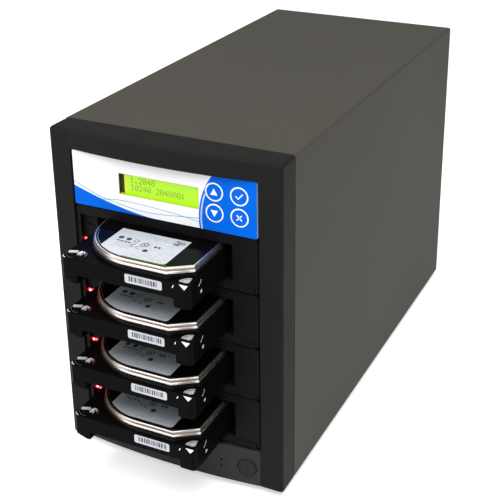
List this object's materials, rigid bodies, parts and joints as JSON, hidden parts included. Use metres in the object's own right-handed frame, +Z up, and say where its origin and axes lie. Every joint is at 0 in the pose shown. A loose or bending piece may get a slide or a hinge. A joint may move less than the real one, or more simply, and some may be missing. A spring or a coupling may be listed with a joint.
{
  "type": "drive duplicator",
  "caption": "Tower that copies bare disk drives: control panel over open bays with drives pushed into them, power button below, fans and mains inlet behind.",
  "frame": {"origin": "centre of the bounding box, on the surface the feet stand on", "axes": "+Z up, +Y to the back of the tower, +X to the right as seen from the front"},
  "size_m": [0.186, 0.4422, 0.267],
  "materials": {
    "cover_paint": "fine textured satin paint",
    "chassis_steel": "zinc plated, matt",
    "panel_paint": "satin paint",
    "supply_steel": "zinc plated",
    "bezel_plastic": "fine texture",
    "rack_plastic": "pebbled texture",
    "plate_plastic": "printed overlay",
    "key_plastic": "smooth",
    "button_plastic": "smooth",
    "board_green": "solder mask",
    "display_pane": "clear over a lit panel",
    "lamp_red": "clear red",
    "drive_casting": "cast, clear coated",
    "drive_lid_metal": "stepped, satin",
    "fan_plastic": "moulded",
    "guard_chrome": "bright wire",
    "inlet_plastic": "moulded",
    "rocker_plastic": "smooth",
    "screw_steel": "zinc plated",
    "fan_screw_steel": "black oxide",
    "foot_rubber": "matt"
  },
  "bodies": {
    "chassis": {"case_cover": "cover_paint", "chassis_tray": "chassis_steel", "bay_cage": "chassis_steel", "control_bracket": "chassis_steel", "rack_shell_1": "chassis_steel", "rack_shell_2": "chassis_steel", "rack_shell_3": "chassis_steel", "rack_shell_4": "chassis_steel", "rear_panel": "panel_paint", "power_supply_case": "supply_steel", "front_bezel": "bezel_plastic", "lower_front_panel": "bezel_plastic", "rack_bezel_1": "rack_plastic", "rack_bezel_2": "rack_plastic", "rack_bezel_3": "rack_plastic", "rack_bezel_4": "rack_plastic", "control_plate": "plate_plastic", "keypad_board": "board_green", "front_switch_board": "board_green", "controller_board": "board_green", "display_module": "board_green", "rack_board_1": "board_green", "rack_board_2": "board_green", "rack_board_3": "board_green", "rack_board_4": "board_green", "display_glass": "display_pane", "rack_lamps_1": "lamp_red", "rack_lamps_2": "lamp_red", "rack_lamps_3": "lamp_red", "rack_lamps_4": "lamp_red", "case_fan_frame": "fan_plastic", "supply_fan_frame": "fan_plastic", "fan_guard": "guard_chrome", "power_inlet": "inlet_plastic", "rocker_housing": "inlet_plastic", "cover_screws": "screw_steel", "bay_screws": "screw_steel", "fan_screws": "fan_screw_steel", "feet": "foot_rubber"},
    "drive_1": {"drive_body_1": "drive_casting", "drive_lid_1": "drive_lid_metal", "drive_board_1": "board_green"},
    "drive_2": {"drive_body_2": "drive_casting", "drive_lid_2": "drive_lid_metal", "drive_board_2": "board_green"},
    "drive_3": {"drive_body_3": "drive_casting", "drive_lid_3": "drive_lid_metal", "drive_board_3": "board_green"},
    "drive_4": {"drive_body_4": "drive_casting", "drive_lid_4": "drive_lid_metal", "drive_board_4": "board_green"},
    "up_key": {"key_up": "key_plastic"},
    "down_key": {"key_down": "key_plastic"},
    "enter_key": {"key_enter": "key_plastic"},
    "escape_key": {"key_escape": "key_plastic"},
    "power_push_button": {"power_button": "button_plastic"},
    "rocker": {"power_rocker": "rocker_plastic"},
    "case_fan": {"case_fan_rotor": "fan_plastic"},
    "supply_fan": {"supply_fan_rotor": "fan_plastic"}
  },
  "joints": [
    {"name": "drive_slide_1", "type": "slide", "parent": "chassis", "child": "drive_1", "axis": [0, -1, 0], "range_m": [0, 0.085]},
    {"name": "drive_slide_2", "type": "slide", "parent": "chassis", "child": "drive_2", "axis": [0, -1, 0], "range_m": [0, 0.085]},
    {"name": "drive_slide_3", "type": "slide", "parent": "chassis", "child": "drive_3", "axis": [0, -1, 0], "range_m": [0, 0.085]},
    {"name": "drive_slide_4", "type": "slide", "parent": "chassis", "child": "drive_4", "axis": [0, -1, 0], "range_m": [0, 0.085]},
    {"name": "key_up_press", "type": "slide", "parent": "chassis", "child": "up_key", "axis": [0, 1, 0], "range_m": [0, 0.0004], "stiffness_N_per_m": 1500},
    {"name": "key_down_press", "type": "slide", "parent": "chassis", "child": "down_key", "axis": [0, 1, 0], "range_m": [0, 0.0004], "stiffness_N_per_m": 1500},
    {"name": "key_enter_press", "type": "slide", "parent": "chassis", "child": "enter_key", "axis": [0, 1, 0], "range_m": [0, 0.0004], "stiffness_N_per_m": 1500},
    {"name": "key_escape_press", "type": "slide", "parent": "chassis", "child": "escape_key", "axis": [0, 1, 0], "range_m": [0, 0.0004], "stiffness_N_per_m": 1500},
    {"name": "power_button_press", "type": "slide", "parent": "chassis", "child": "power_push_button", "axis": [0, 1, 0], "range_m": [0, 0.0025], "stiffness_N_per_m": 600},
    {"name": "power_rocker_tilt", "type": "hinge", "parent": "chassis", "child": "rocker", "pos_m": [0.045, 0.21555, 0.031], "axis": [1, 0, 0], "range_deg": [0, 18]},
    {"name": "case_fan_spin", "type": "hinge", "parent": "chassis", "child": "case_fan", "pos_m": [0, 0.19835, 0.177], "axis": [0, 1, 0], "continuous": true},
    {"name": "supply_fan_spin", "type": "hinge", "parent": "chassis", "child": "supply_fan", "pos_m": [-0.03, 0.19835, 0.05], "axis": [0, 1, 0], "continuous": true}
  ]
}
